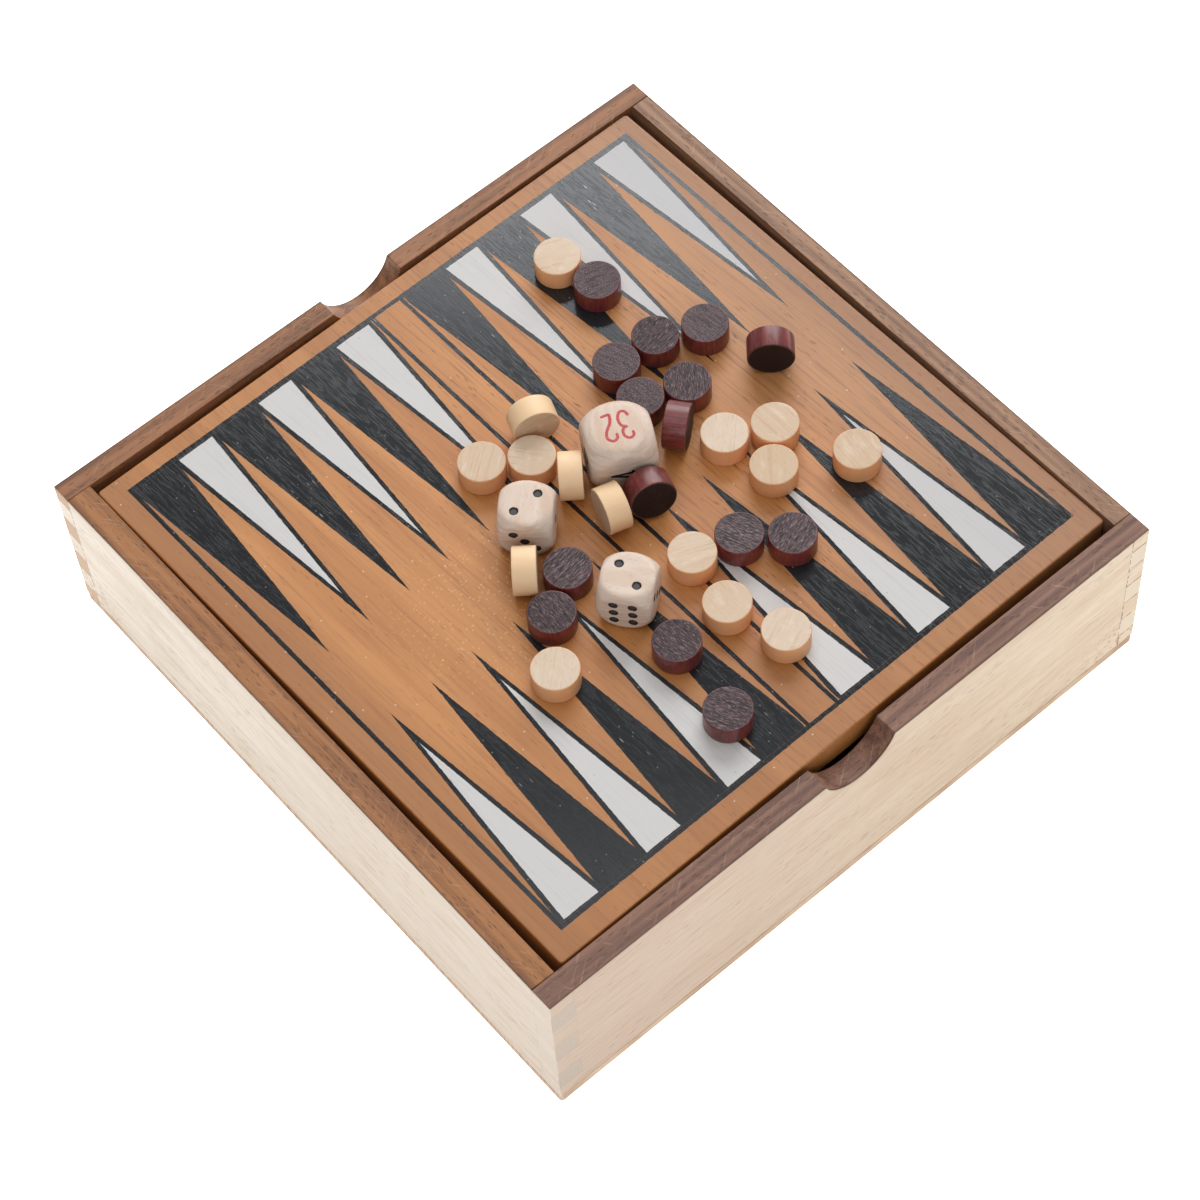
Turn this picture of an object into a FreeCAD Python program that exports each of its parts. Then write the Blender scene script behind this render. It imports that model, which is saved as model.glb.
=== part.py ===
"""A backgammon set: a finger-jointed wooden box, its lift-out board and the loose pieces on it.

Millimetres, +Z up. The origin is the middle of the underside of the box. X runs along the two
walls that have finger notches, and Y along the two plain walls.
"""

import FreeCAD, Part
import itertools
import math
import os

Vector = FreeCAD.Vector
UP = Vector(0, 0, 1)

# The box: four walls glued on a thin panel.
box_width = 220.0          # along X
box_depth = 220.0          # along Y
box_height = 59.6
front_thickness = 7.6      # of the four planks, which differ a little
back_thickness = 6.8
left_thickness = 8.0
right_thickness = 6.5
panel_thickness = 3.3
panel_corner_radius = 1.2
finger_height = 9.0        # one full finger of the corner joints
full_fingers = 5           # between the shorter fingers at the top and the bottom

# The finger notches, cut in the top edge of the front and back walls.
notch_radius = 13.3
notch_depth = 9.0

# The board, which lies loose in the box on two ledges.
board_thickness = 10.0
board_drop = 1.0           # from the wall tops down to the face of the board
board_play_x = 3.1         # how much narrower the board is than the inside of the box
board_play_y = 3.6
board_shift_x = 0.1        # the board lies a little off the middle of its play
board_shift_y = 0.3
board_clearance = 0.14     # left at its corners, as it lies turned in its play
board_corner_radius = 1.2
board_edge_radius = 0.5
ledge_width = 6.0
ledge_height = 8.0

# The loose pieces.
checker_diameter = 14.0
checker_thickness = 7.0
checker_stand_gap = 0.3    # under a checker that stands on its rim
die_edge = 16.0
die_face_width = 13.8      # of the even octagon that the cut edges and corners leave on each face
pip_diameter = 2.7
pip_sides = 10             # of a pip, which is near enough round at this size
pip_depth = 0.35
pip_reach = 3.1            # from the middle of a face to its outer pips
six_column_reach = 2.7     # the six has its columns nearer, and its rows wider
six_row_reach = 3.7
cube_edge = 20.0
cube_face_width = 17.2

# The places of the loose pieces on the board, in X and Y. Pieces that would touch are nudged apart.
piece_gap = 0.3
overlap_step = 0.9         # how far each of two overlapping pieces slides at a time
nudge_rounds = 60
light_places = [(47, 71.5), (-16, 30.5), (-4, 22.5), (41.5, -8.5), (54.5, -15.5), (44.5, -26),
                (65.5, -38), (8, -32.5), (4.5, -51), (10.5, -68.5), (-44.5, -35.5)]
dark_places = [(50, 57), (49.5, 30.5), (63, 24), (35, 31), (32, 17), (45.5, 12),
               (22, -36.5), (33, -46.5), (-21, -13), (-33.5, -21), (-14, -51), (-18, -76.5)]
# A checker on its rim: its place, the bearing of its axis and how far it leans back, in degrees.
light_on_edge = [(4, 31.5, 69, 0), (-0.5, 9.5, -38, 0), (1, -6.5, -16, 0), (-30.5, -6, -39, 0)]
dark_on_edge = [(70.5, 4, 50, 0), (33, 2, -52, 0), (12, -10, 70, 9)]
# A cube: its place and its bearing.
die_places = [(-19, 6.5, -45), (-13.5, -30.5, 37.5)]
cube_place = (15, 6.5, -27.5)

wall_height = box_height - panel_thickness
inside_width = box_width - left_thickness - right_thickness
inside_depth = box_depth - front_thickness - back_thickness
inside_x = (left_thickness - right_thickness) / 2    # the middle of the inside
inside_y = (front_thickness - back_thickness) / 2
board_width = inside_width - board_play_x
board_depth = inside_depth - board_play_y
board_top = box_height - board_drop
board_underside = board_top - board_thickness


def block(x, y, z, centre_x, centre_y, bottom):
    """A box of that size, centred in X and Y, standing at that height."""
    return Part.makeBox(x, y, z, Vector(centre_x - x / 2, centre_y - y / 2, bottom))


def save(name, shape):
    """Writes one sub-part."""
    shape.exportStep(f"parts/{name}.step")


def bottom_panel():
    """The thin sheet under the walls, with its upright corners rounded."""
    panel = block(box_width, box_depth, panel_thickness, 0, 0, 0)
    upright = [e for e in panel.Edges if abs(e.tangentAt(e.FirstParameter).z) > 0.9]
    return panel.makeFillet(panel_corner_radius, upright)


def finger_levels():
    """The heights where the fingers of a corner meet, from the panel to the wall tops."""
    short = (wall_height - full_fingers * finger_height) / 2
    inner = [panel_thickness + short + n * finger_height for n in range(full_fingers + 1)]
    return [panel_thickness] + inner + [box_height]


def finger_slots(length, thickness, neighbours, first):
    """The slots at both ends of a wall along X: every second finger, from the first one.

    They are as deep as the wall's neighbours at its two ends are thick."""
    levels = finger_levels()
    slots = []
    for n in range(first, len(levels) - 1, 2):
        for side, depth in zip((-1, 1), neighbours):
            middle = side * (length - depth) / 2
            slots.append(block(depth, thickness, levels[n + 1] - levels[n], middle, 0, levels[n]))
    return slots


def wall(length, thickness, neighbours, first_slot):
    """A wall along X, in the middle of the box, with slots for the fingers of its neighbours."""
    plank = block(length, thickness, wall_height, 0, 0, panel_thickness)
    return plank.cut(finger_slots(length, thickness, neighbours, first_slot))


def notched_wall(thickness):
    """A wall that holds the top and bottom fingers, with a round finger notch in its top edge."""
    centre = Vector(0, -thickness, box_height + notch_radius - notch_depth)
    cutter = Part.makeCylinder(notch_radius, 2 * thickness, centre, Vector(0, 1, 0))
    return wall(box_width, thickness, (left_thickness, right_thickness), 1).cut(cutter)


def plain_wall(thickness):
    """A wall that holds the fingers between, turned to run along Y."""
    shape = wall(box_depth, thickness, (front_thickness, back_thickness), 0)
    shape.rotate(Vector(0, 0, 0), UP, 90)
    return shape


def ledge(side):
    """A strip glued inside a plain wall, for the board to lie on."""
    middle = inside_x + side * (inside_width - ledge_width) / 2
    return block(ledge_width, inside_depth, ledge_height, middle, inside_y,
                 board_underside - ledge_height)


def board_turn():
    """How far the board can turn in its play, in degrees, before a corner meets a wall."""
    room_x = board_play_x / 2 - board_shift_x - board_clearance
    room_y = board_play_y / 2 - board_shift_y - board_clearance
    return math.degrees(min(math.asin(room_x / (board_depth / 2 - board_corner_radius)),
                            math.asin(room_y / (board_width / 2 - board_corner_radius))))


def playing_board():
    """The board, with rounded corners and a softened upper edge, as it lies in the box."""
    board = block(board_width, board_depth, board_thickness, 0, 0, board_underside)
    upright = [e for e in board.Edges if abs(e.tangentAt(e.FirstParameter).z) > 0.9]
    board = board.makeFillet(board_corner_radius, upright)
    rim = [e for e in board.Edges if min(v.Z for v in e.Vertexes) > board_top - 0.01]
    board = board.makeFillet(board_edge_radius, rim)
    board.rotate(Vector(0, 0, 0), UP, board_turn())
    return board.translated(Vector(inside_x + board_shift_x, inside_y + board_shift_y, 0))


def on_board(shape, x, y):
    """Moves a piece that stands at the origin to its place on the board."""
    return shape.translated(Vector(x, y, board_top))


def lying_checker(x, y):
    """A checker flat on the board."""
    return on_board(Part.makeCylinder(checker_diameter / 2, checker_thickness), x, y)


def standing_checker(x, y, bearing, lean):
    """A checker on its rim, its axis level or tipped so that the piece leans back."""
    radius = checker_diameter / 2
    half = checker_thickness / 2
    tilt = math.radians(lean)
    centre_height = radius * math.cos(tilt) + half * math.sin(tilt) + checker_stand_gap
    shape = Part.makeCylinder(radius, checker_thickness, Vector(0, 0, -half))
    shape.rotate(Vector(0, 0, 0), Vector(0, 1, 0), 90 + lean)
    shape.rotate(Vector(0, 0, 0), UP, bearing)
    return on_board(shape.translated(Vector(0, 0, centre_height)), x, y)


def softened_cube(edge, face_width):
    """A cube with its edges and corners cut flat, which leaves an even octagon on each face."""
    cube = block(edge, edge, edge, 0, 0, -edge / 2)
    cube = cube.makeChamfer((edge - face_width) / 2, cube.Edges)
    reach = (face_width / math.sqrt(2) + edge / 2) / math.sqrt(3)
    corners = []
    for way in itertools.product((-1, 1), repeat=3):
        cutter = block(edge, edge, edge, 0, 0, reach)
        cutter.Placement = FreeCAD.Placement(Vector(), FreeCAD.Rotation(UP, Vector(*way)))
        corners.append(cutter)
    return cube.cut(corners)


def pip_spots(number):
    """Where the pips of a face lie, from its middle, right and up."""
    r = pip_reach
    rows = (-six_row_reach, 0, six_row_reach)
    spots = {
        1: [(0, 0)],
        2: [(-r, -r), (r, r)],
        3: [(-r, r), (0, 0), (r, -r)],
        4: [(-r, -r), (-r, r), (r, -r), (r, r)],
        5: [(-r, -r), (-r, r), (0, 0), (r, -r), (r, r)],
        6: [(side * six_column_reach, row) for side in (-1, 1) for row in rows],
    }
    return spots[number]


# The face of a die that holds each number: the way it faces, and its own right.
die_faces = {
    1: (Vector(1, 0, 0), Vector(0, 1, 0)),
    2: (Vector(0, 0, 1), Vector(1, 0, 0)),
    3: (Vector(0, -1, 0), Vector(1, 0, 0)),
    4: (Vector(0, 1, 0), Vector(-1, 0, 0)),
    5: (Vector(0, 0, -1), Vector(1, 0, 0)),
    6: (Vector(-1, 0, 0), Vector(0, -1, 0)),
}


def pip_drill(number):
    """The shallow holes of one face."""
    out, right = die_faces[number]
    up = out.cross(right)
    holes = []
    for across, along in pip_spots(number):
        spot = out * (die_edge / 2 - pip_depth) + right * across + up * along
        turns = [2 * math.pi * n / pip_sides for n in range(pip_sides + 1)]
        rim = [spot + (right * math.cos(t) + up * math.sin(t)) * (pip_diameter / 2) for t in turns]
        holes.append(Part.Face(Part.makePolygon(rim)).extrude(out * (2 * pip_depth)))
    return holes


def die(x, y, bearing):
    """A die with drilled pips, opposite faces adding up to seven."""
    shape = softened_cube(die_edge, die_face_width)
    shape = shape.cut([hole for number in die_faces for hole in pip_drill(number)])
    shape.rotate(Vector(0, 0, 0), UP, bearing)
    return on_board(shape.translated(Vector(0, 0, die_edge / 2)), x, y)


def doubling_cube(x, y, bearing):
    """The doubling cube, which has painted numbers and so no holes."""
    shape = softened_cube(cube_edge, cube_face_width)
    shape.rotate(Vector(0, 0, 0), UP, bearing)
    return on_board(shape.translated(Vector(0, 0, cube_edge / 2)), x, y)


def checkers(colour, lying, on_edge):
    """One colour of checkers, named and numbered from 01, the lying ones first."""
    shapes = [lying_checker(*place) for place in lying]
    shapes += [standing_checker(*place) for place in on_edge]
    return {f"checker_{colour}_{n:02d}": shape for n, shape in enumerate(shapes, start=1)}


def loose_pieces():
    """Everything that lies on the board, each piece at its own place."""
    pieces = checkers("light", light_places, light_on_edge)
    pieces.update(checkers("dark", dark_places, dark_on_edge))
    pieces.update({f"die_{n}": die(*place) for n, place in enumerate(die_places, start=1)})
    pieces["doubling_cube"] = doubling_cube(*cube_place)
    return pieces


def near(one, other):
    """Whether the boxes round two shapes come within the gap of each other."""
    grown = FreeCAD.BoundBox(one.BoundBox)
    grown.enlarge(piece_gap)
    return grown.intersect(other.BoundBox)


def nudge_apart(pieces):
    """Slides each two pieces that are nearer than the gap apart, away from their middles."""
    moved = set(pieces)
    for attempt in range(nudge_rounds):
        pairs = [pair for pair in itertools.combinations(pieces, 2) if moved.intersection(pair)]
        moved = set()
        for pair in pairs:
            one, other = pieces[pair[0]], pieces[pair[1]]
            gap = one.distToShape(other)[0] if near(one, other) else piece_gap
            if gap < piece_gap:
                way = other.BoundBox.Center - one.BoundBox.Center
                way.z = 0
                step = way.normalize() * (piece_gap - gap / 2 if gap else overlap_step)
                one.translate(-step)
                other.translate(step)
                moved.update(pair)
        if not moved:
            break


os.makedirs("parts", exist_ok=True)
save("bottom_panel", bottom_panel())
for name, thickness, side in (("front", front_thickness, -1), ("back", back_thickness, 1)):
    middle = Vector(0, side * (box_depth - thickness) / 2, 0)
    save(f"wall_{name}", notched_wall(thickness).translated(middle))
for name, thickness, side in (("left", left_thickness, -1), ("right", right_thickness, 1)):
    middle = Vector(side * (box_width - thickness) / 2, 0, 0)
    save(f"wall_{name}", plain_wall(thickness).translated(middle))
save("ledge_left", ledge(-1))
save("ledge_right", ledge(1))
save("playing_board", playing_board())
loose = loose_pieces()
nudge_apart(loose)
for name, shape in loose.items():
    save(name, shape)
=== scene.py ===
"""A backgammon set: a finger-jointed wooden box with its lift-out board and the loose pieces on it.

Metres, +Z up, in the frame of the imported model. Sizes inside a section are in millimetres where
its comment says so, and are turned into metres when the mesh is made.
"""

import math

import bmesh
import bpy
import numpy as np
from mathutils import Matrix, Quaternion, Vector


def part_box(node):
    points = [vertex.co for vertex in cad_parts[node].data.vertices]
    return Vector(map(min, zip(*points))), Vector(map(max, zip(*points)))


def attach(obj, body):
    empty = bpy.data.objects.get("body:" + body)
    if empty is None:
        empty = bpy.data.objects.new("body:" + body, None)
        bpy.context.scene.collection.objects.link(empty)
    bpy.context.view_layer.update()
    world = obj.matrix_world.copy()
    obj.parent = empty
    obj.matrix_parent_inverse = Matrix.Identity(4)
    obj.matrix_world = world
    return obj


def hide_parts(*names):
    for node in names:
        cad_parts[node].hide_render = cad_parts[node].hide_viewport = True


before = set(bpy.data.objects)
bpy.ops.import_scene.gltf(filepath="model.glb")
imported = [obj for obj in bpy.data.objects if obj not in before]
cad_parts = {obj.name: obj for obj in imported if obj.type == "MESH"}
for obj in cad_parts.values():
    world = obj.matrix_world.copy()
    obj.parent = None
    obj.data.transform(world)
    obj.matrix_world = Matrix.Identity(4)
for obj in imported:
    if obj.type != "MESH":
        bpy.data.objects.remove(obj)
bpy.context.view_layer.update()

# ---------------------------------------------------------------------------------------------
# The bottom panel: one sheet of thin plywood, glued under the four walls and sawn flush with
# them. Its edge shows as a thin brown strip along the foot of the box.
# ---------------------------------------------------------------------------------------------

MM = 0.001
weld = 0.001 * MM      # corners of a mesh that lie nearer than this are one
close = 0.01           # in millimetres, for telling which edges lie in a plane


def tint(red, green, blue):
    """A colour in steps of 255 as a screen shows it, turned into the linear one of a shader."""
    share = np.array((red, green, blue)) / 255
    linear = np.where(share <= 0.04045, share / 12.92, ((share + 0.055) / 1.055) ** 2.4)
    return (*map(float, linear), 1.0)


class Amount:
    """A number that changes over a surface. Python's operators on it add Math nodes."""

    def __init__(self, finish, socket):
        self.finish = finish
        self.socket = socket

    def math(self, operation, *others):
        """The result of a Math node on this number and the others."""
        return self.finish.node("ShaderNodeMath", {"operation": operation},
                                dict(enumerate((self, *others))))

    def __add__(self, other):
        return self.math("ADD", other)

    def __mul__(self, other):
        return self.math("MULTIPLY", other)

    def __sub__(self, other):
        return self.math("SUBTRACT", other)

    def __rsub__(self, other):
        return (self * -1) + other

    def __truediv__(self, other):
        return self.math("DIVIDE", other)

    def __abs__(self):
        return self.math("ABSOLUTE")

    __radd__ = __add__
    __rmul__ = __mul__

    def least(self, other):
        """The smaller of the two."""
        return self.math("MINIMUM", other)

    def most(self, other):
        """The larger of the two."""
        return self.math("MAXIMUM", other)

    def rise(self, start, end):
        """0 up to start and 1 from end on, with a smooth step between; start may be the larger."""
        return self.finish.node("ShaderNodeMapRange", {"interpolation_type": "SMOOTHSTEP"},
                                {"Value": self, "From Min": start, "From Max": end})


class Finish:
    """A material in the making: its node tree, and the ways its maker adds to it."""

    def __init__(self, name, roughness=0.5, specular=0.5):
        self.material = bpy.data.materials.new(name)
        self.material.use_nodes = True
        self.tree = self.material.node_tree
        self.shader = self.tree.nodes["Principled BSDF"]
        self.shader.inputs["Roughness"].default_value = roughness
        self.shader.inputs["Specular IOR Level"].default_value = specular

    def put(self, socket, value):
        """Links or sets one input."""
        if isinstance(value, Amount):
            self.tree.links.new(value.socket, socket)
        else:
            socket.default_value = value

    def node(self, kind, settings=(), inputs=(), output=0):
        """Adds any node: its settings come first, then the values or links of its inputs."""
        node = self.tree.nodes.new(kind)
        for name, value in dict(settings).items():
            setattr(node, name, value)
        for name, value in dict(inputs).items():
            self.put(node.inputs[name], value)
        return Amount(self, node.outputs[output])

    def place(self, attribute=None, centre=(0, 0, 0), turn=0.0):
        """Where a point is, in millimetres from the centre (in metres) and turned about Z; or the
        same of the piece's own coordinates, kept as an attribute."""
        if attribute:
            start = self.node("ShaderNodeAttribute", {"attribute_name": attribute}, output=1)
        else:
            start = self.node("ShaderNodeTexCoord", output=3)
        return self.node("ShaderNodeMapping", {"vector_type": "TEXTURE"}, {
            "Vector": start, "Location": centre, "Rotation": (0, 0, turn),
            "Scale": (MM, MM, MM)})

    def scaled(self, vector, factors):
        """A vector times three factors."""
        return self.node("ShaderNodeVectorMath", {"operation": "MULTIPLY"},
                         {0: vector, 1: factors})

    def axes(self, vector):
        """The three numbers of a vector."""
        return [self.node("ShaderNodeSeparateXYZ", {}, {0: vector}, output=n) for n in range(3)]

    def cloud(self, vector, size, detail=2.0, roughness=0.5, distortion=0.0):
        """Noise from 0 to 1, whose grains are about as large as the size on each axis."""
        return self.node("ShaderNodeTexNoise", {}, {
            "Vector": self.scaled(vector, [1 / s for s in size]), "Scale": 1.0,
            "Detail": detail, "Roughness": roughness, "Distortion": distortion})

    def pores(self, vector, size):
        """The distance from the nearest of scattered points, in cells of the size."""
        return self.node("ShaderNodeTexVoronoi", {}, {
            "Vector": self.scaled(vector, [1 / s for s in size]), "Scale": 1.0})

    def blend(self, first, second, share):
        """The first colour, with the share of the second laid over it."""
        return self.node("ShaderNodeMix", {"data_type": "RGBA"},
                         {0: share, 6: first, 7: second}, output=2)

    def finish(self, colour, height, depth, roughness=None):
        """Joins the colour, the height of the relief in shares of its depth in millimetres, and
        the roughness to the shader, and gives the material."""
        self.put(self.shader.inputs["Base Color"], colour)
        bump = self.node("ShaderNodeBump", {}, {"Height": height, "Distance": depth * MM})
        self.put(self.shader.inputs["Normal"], bump)
        if roughness is not None:
            self.put(self.shader.inputs["Roughness"], roughness)
        return self.material


def softened(node, name, width, chosen):
    """A merged copy of a CAD piece that stands for it, with a Bevel on the chosen arrises.

    chosen takes the two ends of every edge, in millimetres, and gives 1 where it is rounded."""
    work = bmesh.new()
    work.from_mesh(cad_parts[node].data)
    bmesh.ops.remove_doubles(work, verts=work.verts, dist=weld)
    bmesh.ops.dissolve_limit(work, angle_limit=math.radians(1), verts=work.verts,
                             edges=work.edges)
    mesh = bpy.data.meshes.new(name)
    work.to_mesh(mesh)
    work.free()
    points = np.empty(len(mesh.vertices) * 3)
    mesh.vertices.foreach_get("co", points)
    ends = np.empty(len(mesh.edges) * 2, int)
    mesh.edges.foreach_get("vertices", ends)
    sides = (points.reshape(-1, 3) / MM)[ends.reshape(-1, 2)]
    weight = mesh.attributes.new("bevel_weight_edge", "FLOAT", "EDGE")
    weight.data.foreach_set("value", chosen(sides[:, 0], sides[:, 1]).astype(np.float32))
    mesh.shade_smooth()
    mesh.set_sharp_from_angle(angle=math.radians(30))
    piece = bpy.data.objects.new(name, mesh)
    bpy.context.scene.collection.objects.link(piece)
    bevel = piece.modifiers.new("soft arrises", "BEVEL")
    bevel.limit_method = "WEIGHT"
    bevel.width = width * MM
    bevel.segments = 2
    bevel.harden_normals = True
    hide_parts(node)
    return piece


def panel_finish():
    """Plywood: long brown fibres on its faces and darker, rougher layers at its edge."""
    ply = Finish("plywood", roughness=0.6, specular=0.3)
    spot = ply.place()
    fibres = ply.cloud(spot, (30, 0.6, 30), detail=4)
    layers = ply.cloud(spot, (9, 9, 0.7), detail=3)
    colour = ply.blend(tint(208, 182, 154), tint(170, 136, 104), fibres.rise(0.35, 0.7))
    colour = ply.blend(colour, tint(132, 98, 70), layers.rise(0.45, 0.8) * 0.6)
    return ply.finish(colour, fibres, 0.1)


panel = softened("bottom_panel", "plywood_panel", 0.25,
                 lambda a, b: np.abs(a[:, 2] - b[:, 2]) < close)
panel.data.materials.append(panel_finish())
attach(panel, "box")

# ---------------------------------------------------------------------------------------------
# The walls: four planks with glued finger joints, left pale outside and stained walnut brown on
# top and inside, after the joints were sanded flush. The front and back ones have finger notches.
# ---------------------------------------------------------------------------------------------

wall_low, wall_high = (np.array(corner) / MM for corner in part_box("wall_front"))
box_half = wall_high[0]
wall_top = wall_high[2]
notch_depth, notch_reach = 9.0, 20.0     # how deep a notch is, and more than half its width
notch_floor = wall_top - notch_depth
finger_height, full_fingers = 9.0, 5
short_finger = (wall_top - wall_low[2] - full_fingers * finger_height) / 2


def wall_finish(name, turn, pale, brown, tips, thick):
    """One plank, its fibres along its length: cream outside, end grain at its tips, walnut elsewhere.

    pale is three colours, the last a painted shade towards the low end, and brown is two. tips
    gives the colour of the end grain, and how dark the glue is there, at the low and the high end.
    thick is how thick the neighbours are at both."""
    wood = Finish(name, roughness=0.5, specular=0.35)
    spot = wood.place(turn=turn)
    slanted = wood.place(turn=turn + math.radians(1.2))
    along, across, height = wood.axes(spot)

    # The bare outside, with fine brown dashes and hairlines in a cream ground.
    broad = wood.cloud(spot, (50, 9, 9), detail=3)
    hairline = wood.cloud(slanted, (40, 0.4, 0.4), detail=3, roughness=0.7)
    dash = wood.pores(slanted, (7, 0.9, 0.9)).rise(0.26, 0.12)
    crowd = wood.cloud(spot, (40, 8, 8), detail=2).rise(0.42, 0.62)
    cream = wood.blend(pale[0], pale[1], broad.rise(0.35, 0.68))
    # Painted shade: towards the low end the cream is drawn to the third colour, which darkens the
    # near corner of the front and left planks.
    cream = wood.blend(cream, pale[2], along.rise(box_half, -box_half) * 0.8)
    cream = wood.blend(cream, tint(160, 116, 78), hairline.rise(0.48, 0.7) * 0.5)
    cream = wood.blend(cream, tint(132, 90, 58), dash * crowd * 0.65)
    torn = wood.pores(spot, (2.2, 1.1, 1.1)).rise(0.4, 0.25)
    rough_foot = along.rise(box_half - 30, box_half - 6) * height.rise(26, 8)
    cream = wood.blend(cream, tint(150, 104, 64), torn * rough_foot * 0.75)

    # The end grain of the fingers, rougher and open, and the glue in the joints.
    high_end = along.rise(-1, 1)
    rings = wood.cloud(spot, (0.5, 0.9, 5), detail=4, roughness=0.65)
    ends = wood.blend(tips[0][0], tips[1][0], high_end)
    ends = wood.blend(ends, tint(168, 130, 98), rings.rise(0.5, 0.8) * 0.3)
    level = (height - wall_low[2] - short_finger) / finger_height
    from_level = abs(level - level.math("ROUND")) * finger_height
    joint = from_level.rise(0.4, 0.15)
    inward = box_half - abs(along)
    reach = thick[0] + high_end * (thick[1] - thick[0])
    in_joint = (inward - reach).rise(0.3, 0.1)
    shoulder = abs(inward - reach).rise(0.4, 0.15)
    squeezed = wood.cloud(spot, (2.2, 2.2, 2.2), detail=2).rise(0.42, 0.56)
    strength = tips[0][1] + high_end * (tips[1][1] - tips[0][1])
    glue = (joint * in_joint).most(shoulder) * squeezed * strength

    # The walnut stain, with darker streaks, open pores and slanting marks of the sanding.
    shade = wood.cloud(spot, (60, 2.2, 2.2), detail=4, roughness=0.6)
    pore = wood.pores(spot, (4.5, 0.9, 0.9)).rise(0.3, 0.14)
    marks = wood.cloud(wood.place(turn=turn + math.radians(38)), (11, 0.5, 11), detail=2)
    cross_marks = wood.cloud(wood.place(turn=turn - math.radians(52)), (9, 0.6, 9), detail=2)
    scratched = marks.rise(0.6, 0.78).most(cross_marks.rise(0.64, 0.8))
    stain = wood.blend(brown[0], brown[1], shade.rise(0.36, 0.68))
    stain = wood.blend(stain, tint(196, 164, 140), scratched * 0.28)
    stain = wood.blend(stain, tint(70, 44, 30), pore * 0.55)
    rim = abs(across).rise(box_half - 1.0, box_half - 0.25)
    stain = wood.blend(stain, tint(66, 42, 38), rim * 0.6)

    # The sanding has left the outer faces bare, and the stain stops in the soft arris.
    outside = abs(across).rise(box_half - 0.22, box_half - 0.12)
    tip = abs(along).rise(box_half - 0.22, box_half - 0.12)
    colour = wood.blend(stain, cream, outside)
    colour = wood.blend(colour, ends, tip)
    colour = wood.blend(colour, tint(98, 62, 38), glue * outside.most(tip))
    relief = hairline * 0.3 + (1 - pore) * 0.4 + (1 - dash) * 0.3 + scratched * 0.2
    return wood.finish(colour, relief, 0.1)


def rim_and_corners(a, b):
    """1 for the arrises of the top, of the notches and of the upright corners of the box."""
    high = np.minimum(a[:, 2], b[:, 2])
    across_top = high > wall_top - close
    from_middle = np.maximum(np.abs(a[:, 0]), np.abs(b[:, 0]))
    of_notch = (high > notch_floor - 0.5) & (from_middle < notch_reach)
    corner = np.minimum(np.abs(a[:, :2]), np.abs(b[:, :2])).min(axis=1) > box_half - close
    return across_top | of_notch | corner


plank_thick = {"front": wall_high[1] - wall_low[1],
               "back": (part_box("wall_back")[1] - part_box("wall_back")[0])[1] / MM,
               "left": (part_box("wall_left")[1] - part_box("wall_left")[0])[0] / MM,
               "right": (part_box("wall_right")[1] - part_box("wall_right")[0])[0] / MM}
near_side_tip, near_front_tip = tint(205, 191, 175), tint(180, 164, 148)
rough_tip, pale_tip = tint(184, 148, 114), tint(204, 187, 163)
plank_looks = {
    "front": (0, (tint(208, 189, 163), tint(198, 175, 145), tint(190, 168, 150)),
              (tint(134, 98, 80), tint(98, 68, 58)),
              ((near_side_tip, 0.1), (pale_tip, 0.9)), ("left", "right")),
    "back": (0, (tint(208, 184, 156), tint(192, 165, 134), tint(202, 178, 150)),
             (tint(151, 103, 70), tint(112, 75, 52)),
             ((rough_tip, 0.6), (pale_tip, 0.5)), ("left", "right")),
    "left": (math.pi / 2, (tint(223, 212, 197), tint(212, 197, 177), tint(208, 192, 174)),
             (tint(161, 108, 64), tint(124, 80, 48)),
             ((near_front_tip, 0.1), (rough_tip, 0.7)), ("front", "back")),
    "right": (math.pi / 2, (tint(208, 184, 156), tint(192, 165, 134), tint(202, 178, 150)),
              (tint(158, 120, 92), tint(120, 88, 68)),
              ((pale_tip, 0.9), (pale_tip, 0.5)), ("front", "back")),
}
for side, (turn, pale, brown, tips, neighbours) in plank_looks.items():
    plank = softened(f"wall_{side}", f"plank_{side}", 0.35, rim_and_corners)
    thick = [plank_thick[neighbour] for neighbour in neighbours]
    plank.data.materials.append(
        wall_finish(f"pale_and_walnut_{side}", turn, pale, brown, tips, thick))
    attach(plank, "box")

# ---------------------------------------------------------------------------------------------
# The ledges: two strips of the walls' wood, stained walnut brown like their insides. They are
# glued to the plain walls, clear of the notches, and the board lies loose on them.
# ---------------------------------------------------------------------------------------------


def ledge_finish():
    """Walnut stain on straight fibres."""
    wood = Finish("stained_strip", roughness=0.6, specular=0.3)
    spot = wood.place()
    fibres = wood.cloud(spot, (0.8, 40, 0.8), detail=4)
    colour = wood.blend(tint(126, 90, 64), tint(84, 56, 40), fibres.rise(0.35, 0.7))
    return wood.finish(colour, fibres, 0.1)


strip_wood = ledge_finish()
for side in ("left", "right"):
    strip = softened(f"ledge_{side}", f"strip_{side}", 0.3, lambda a, b: np.ones(len(a)))
    strip.data.materials.append(strip_wood)
    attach(strip, "box")

# ---------------------------------------------------------------------------------------------
# The board: a veneered panel with a rounded upper edge, stained orange brown and screen printed
# in black and then white with the traditional pattern of 24 points. All in millimetres.
# ---------------------------------------------------------------------------------------------

board_width, board_depth = 202.4, 202.0
board_corner, board_round = 1.2, 0.5     # the radii of its upright corners and upper edge
board_chamfer = 0.4                      # of its lower edge
board_low, board_high = (np.array(corner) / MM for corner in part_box("playing_board"))
board_centre = (board_low + board_high) / 2
# The turn at which the board's corner points reach as far along X as the solid's do.
board_turn = math.asin((board_high[0] - board_centre[0] - board_width / 2)
                       / (board_depth / 2 - board_corner))

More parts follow.
